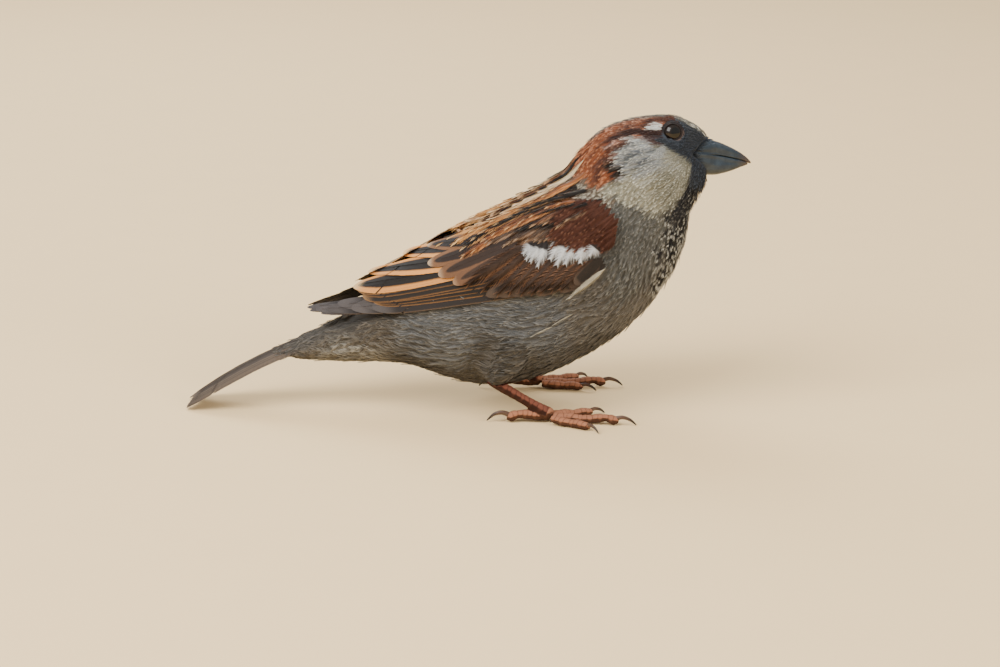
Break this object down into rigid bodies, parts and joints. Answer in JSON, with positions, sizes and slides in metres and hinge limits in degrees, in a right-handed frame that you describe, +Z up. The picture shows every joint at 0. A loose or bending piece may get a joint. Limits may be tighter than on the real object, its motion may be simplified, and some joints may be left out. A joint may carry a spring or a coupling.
{
  "type": "house sparrow model",
  "caption": "Life-size male house sparrow standing with its wings folded and the tip of its tail on the ground, a still model of a small brown, grey and black songbird.",
  "frame": {"origin": "on the ground under the middle of the whole bird's box", "axes": "+Z up, +X the way the bill points, +Y the bird's left"},
  "size_m": [0.1404, 0.0506, 0.0742],
  "materials": {
    "plumage": "matte",
    "flight_feather": "satin",
    "leg_skin": "satin",
    "bill_horn": "satin",
    "claw_horn": "satin",
    "eye": "gloss"
  },
  "bodies": {
    "root": {"bill_lower": "bill_horn", "bill_upper": "bill_horn", "claw_hind_left": "claw_horn", "claw_hind_right": "claw_horn", "claw_inner_left": "claw_horn", "claw_inner_right": "claw_horn", "claw_middle_left": "claw_horn", "claw_middle_right": "claw_horn", "claw_outer_left": "claw_horn", "claw_outer_right": "claw_horn", "eye_left": "eye", "eye_right": "eye", "head": "plumage", "neck": "plumage", "primaries_left": "flight_feather", "primaries_right": "flight_feather", "tail": "flight_feather", "tarsus_left": "leg_skin", "tarsus_right": "leg_skin", "thigh_left": "plumage", "thigh_right": "plumage", "toe_hind_left": "leg_skin", "toe_hind_right": "leg_skin", "toe_inner_left": "leg_skin", "toe_inner_right": "leg_skin", "toe_middle_left": "leg_skin", "toe_middle_right": "leg_skin", "toe_outer_left": "leg_skin", "toe_outer_right": "leg_skin", "trunk": "plumage", "wing_left": "plumage", "wing_right": "plumage"}
  },
  "joints": []
}
